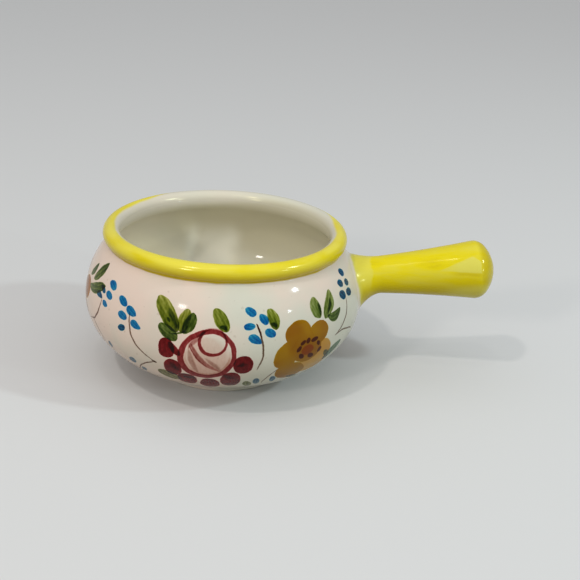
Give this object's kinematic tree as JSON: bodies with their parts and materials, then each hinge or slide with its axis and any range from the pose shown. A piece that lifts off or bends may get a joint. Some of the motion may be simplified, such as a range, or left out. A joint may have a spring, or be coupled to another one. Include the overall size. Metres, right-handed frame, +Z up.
{
  "type": "soup bowl",
  "caption": "Round-bellied soup bowl with a rolled rim, a turned foot ring and one hollow stick handle, for serving and holding hot soup.",
  "frame": {"origin": "centre of the foot ring, on the surface that the bowl stands on", "axes": "+Z up along the bowl's axis, +X from the bowl's axis out along the handle, +Y completing a right-handed frame"},
  "size_m": [0.1994, 0.134, 0.0739],
  "materials": {
    "white_glaze": "gloss",
    "yellow_glaze": "gloss",
    "bare_clay": "matte"
  },
  "bodies": {
    "root": {"bowl_body": "white_glaze", "rim_roll": "yellow_glaze", "foot_ring": "bare_clay", "handle": "yellow_glaze", "handle_collar": "yellow_glaze"}
  },
  "joints": []
}
